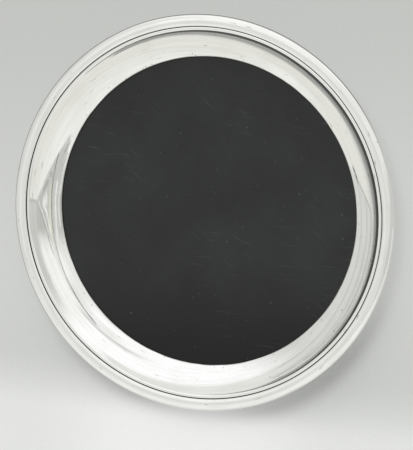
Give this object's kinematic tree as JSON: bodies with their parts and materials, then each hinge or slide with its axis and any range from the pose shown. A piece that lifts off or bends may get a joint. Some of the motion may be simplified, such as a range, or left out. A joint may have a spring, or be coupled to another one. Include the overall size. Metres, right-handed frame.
{
  "type": "round serving tray",
  "caption": "Round serving tray: black laminate centre in a hollow-curved silver border, with a rounded rim band.",
  "frame": {"origin": "on the tray's axis, at the flat face of the base ring that the tray rests on", "axes": "+Z along the tray's axis, up out of the well; +X and +Y lie in the tray's plane, and are free because the tray is a turned shape"},
  "size_m": [0.3048, 0.3048, 0.0222],
  "materials": {
    "silver": "polished silver plate with fine wear",
    "black_laminate": "satin-matt decorative laminate",
    "hardboard": "raw pressed hardboard",
    "backing": "unpolished backing laminate"
  },
  "bodies": {
    "root": {"border_shell": "silver", "rim_band": "silver", "base_ring": "silver", "laminate_face": "black_laminate", "core_board": "hardboard", "backing_sheet": "backing"}
  },
  "joints": []
}
